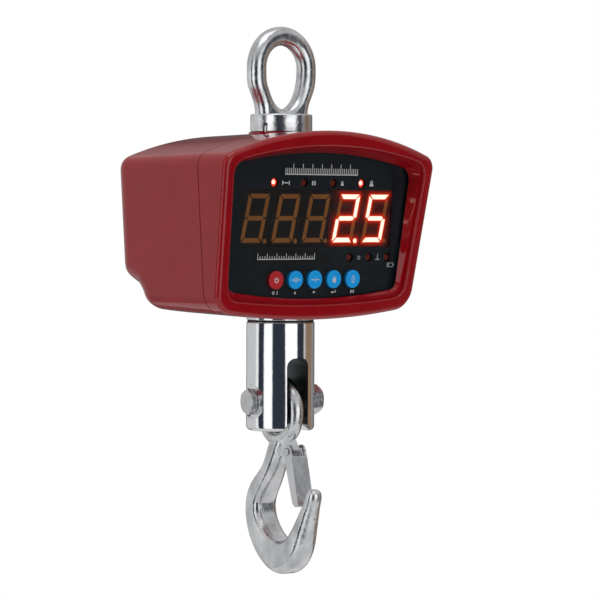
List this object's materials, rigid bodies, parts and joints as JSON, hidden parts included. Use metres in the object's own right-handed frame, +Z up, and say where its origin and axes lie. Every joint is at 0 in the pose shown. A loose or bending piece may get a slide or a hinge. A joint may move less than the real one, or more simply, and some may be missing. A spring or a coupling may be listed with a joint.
{
  "type": "crane scale",
  "caption": "Hanging crane scale: lifting eye, red cast housing with five-digit display and five keys, chrome swivel and a latched hook.",
  "frame": {"origin": "seat of the lifting eye, where the crane's hook or shackle bears", "axes": "+Z up along the load line, -Y towards the reader of the display, +X to the reader's right"},
  "size_m": [0.2156, 0.1581, 0.4367],
  "materials": {
    "red_paint": "gloss",
    "zinc_forging": "satin",
    "chrome": "polished",
    "plated_steel": "satin",
    "cell_steel": "satin",
    "bearing_steel": "polished",
    "brass": "satin",
    "smoke_window": "gloss",
    "black_rubber": "matt",
    "module_black": "matt",
    "lit_light": "gloss",
    "dark_light": "gloss",
    "board_green": "satin",
    "battery_grey": "matt",
    "black_plastic": "gloss",
    "key_red": "gloss",
    "key_blue": "gloss",
    "cable_grey": "matt"
  },
  "bodies": {
    "housing": {"front_shell": "red_paint", "rear_shell": "red_paint", "battery_cover": "red_paint", "shell_gasket": "black_rubber", "screw_plugs": "black_rubber", "window_gasket": "black_rubber", "cover_gasket": "black_rubber", "eye_seal": "black_rubber", "shell_screws": "plated_steel", "retainer_screws": "plated_steel", "window_retainer": "plated_steel", "battery_tray": "plated_steel", "cover_screws": "plated_steel", "board_standoffs": "plated_steel", "socket_nut": "plated_steel", "eye_key": "plated_steel", "eye_washer": "plated_steel", "eye_lock_nut": "plated_steel", "cup_lock_nut": "plated_steel", "display_window": "smoke_window", "digit_module_1": "module_black", "digit_module_2": "module_black", "digit_module_3": "module_black", "digit_module_4": "module_black", "digit_module_5": "module_black", "infrared_receiver": "module_black", "lit_bars": "lit_light", "lit_lamps": "lit_light", "dark_bars": "dark_light", "dark_lamps": "dark_light", "display_board": "board_green", "main_board": "board_green", "tact_switches": "black_plastic", "main_board_spacers": "black_plastic", "charging_socket": "black_plastic", "battery_pack": "battery_grey", "eye_bolt": "zinc_forging", "load_cell": "cell_steel", "cell_cable": "cable_grey", "swivel_cup": "chrome", "cup_cap": "bearing_steel", "lower_race": "bearing_steel", "bearing_balls": "bearing_steel", "bearing_cage": "brass"},
    "swivel": {"upper_race": "bearing_steel", "shank_nut": "plated_steel", "swivel_seal": "black_rubber", "fork": "chrome", "fork_bolt": "plated_steel", "fork_washer": "plated_steel", "fork_nut": "plated_steel"},
    "hook": {"hook": "zinc_forging", "latch_pin": "plated_steel", "latch_spring": "plated_steel"},
    "latch": {"latch": "plated_steel"},
    "key_power": {"key_power": "key_red"},
    "key_zero": {"key_zero": "key_blue"},
    "key_tare": {"key_tare": "key_blue"},
    "key_hold": {"key_hold": "key_blue"},
    "key_shift": {"key_shift": "key_blue"}
  },
  "joints": [
    {"name": "swivel_turn", "type": "hinge", "parent": "housing", "child": "swivel", "pos_m": [0, 0, -0.205], "axis": [0, 0, 1], "continuous": true},
    {"name": "hook_swing", "type": "hinge", "parent": "swivel", "child": "hook", "pos_m": [0, 0, -0.2837], "axis": [0.9925, -0.1219, 0], "range_deg": [-85, 85]},
    {"name": "latch_open", "type": "hinge", "parent": "hook", "child": "latch", "pos_m": [-0.00261, -0.02124, -0.323], "axis": [0.9925, -0.1219, 0], "range_deg": [0, 57], "stiffness_Nm_per_rad": 0.05, "springref_deg": -34.38, "deforming": ["latch_spring"]},
    {"name": "key_power_press", "type": "slide", "parent": "housing", "child": "key_power", "axis": [0, 0.9969, 0.0785], "range_m": [0, 0.0008], "stiffness_N_per_m": 1500, "springref_m": -0.0002},
    {"name": "key_zero_press", "type": "slide", "parent": "housing", "child": "key_zero", "axis": [0, 0.9969, 0.0785], "range_m": [0, 0.0008], "stiffness_N_per_m": 1500, "springref_m": -0.0002},
    {"name": "key_tare_press", "type": "slide", "parent": "housing", "child": "key_tare", "axis": [0, 0.9969, 0.0785], "range_m": [0, 0.0008], "stiffness_N_per_m": 1500, "springref_m": -0.0002},
    {"name": "key_hold_press", "type": "slide", "parent": "housing", "child": "key_hold", "axis": [0, 0.9969, 0.0785], "range_m": [0, 0.0008], "stiffness_N_per_m": 1500, "springref_m": -0.0002},
    {"name": "key_shift_press", "type": "slide", "parent": "housing", "child": "key_shift", "axis": [0, 0.9969, 0.0785], "range_m": [0, 0.0008], "stiffness_N_per_m": 1500, "springref_m": -0.0002}
  ]
}
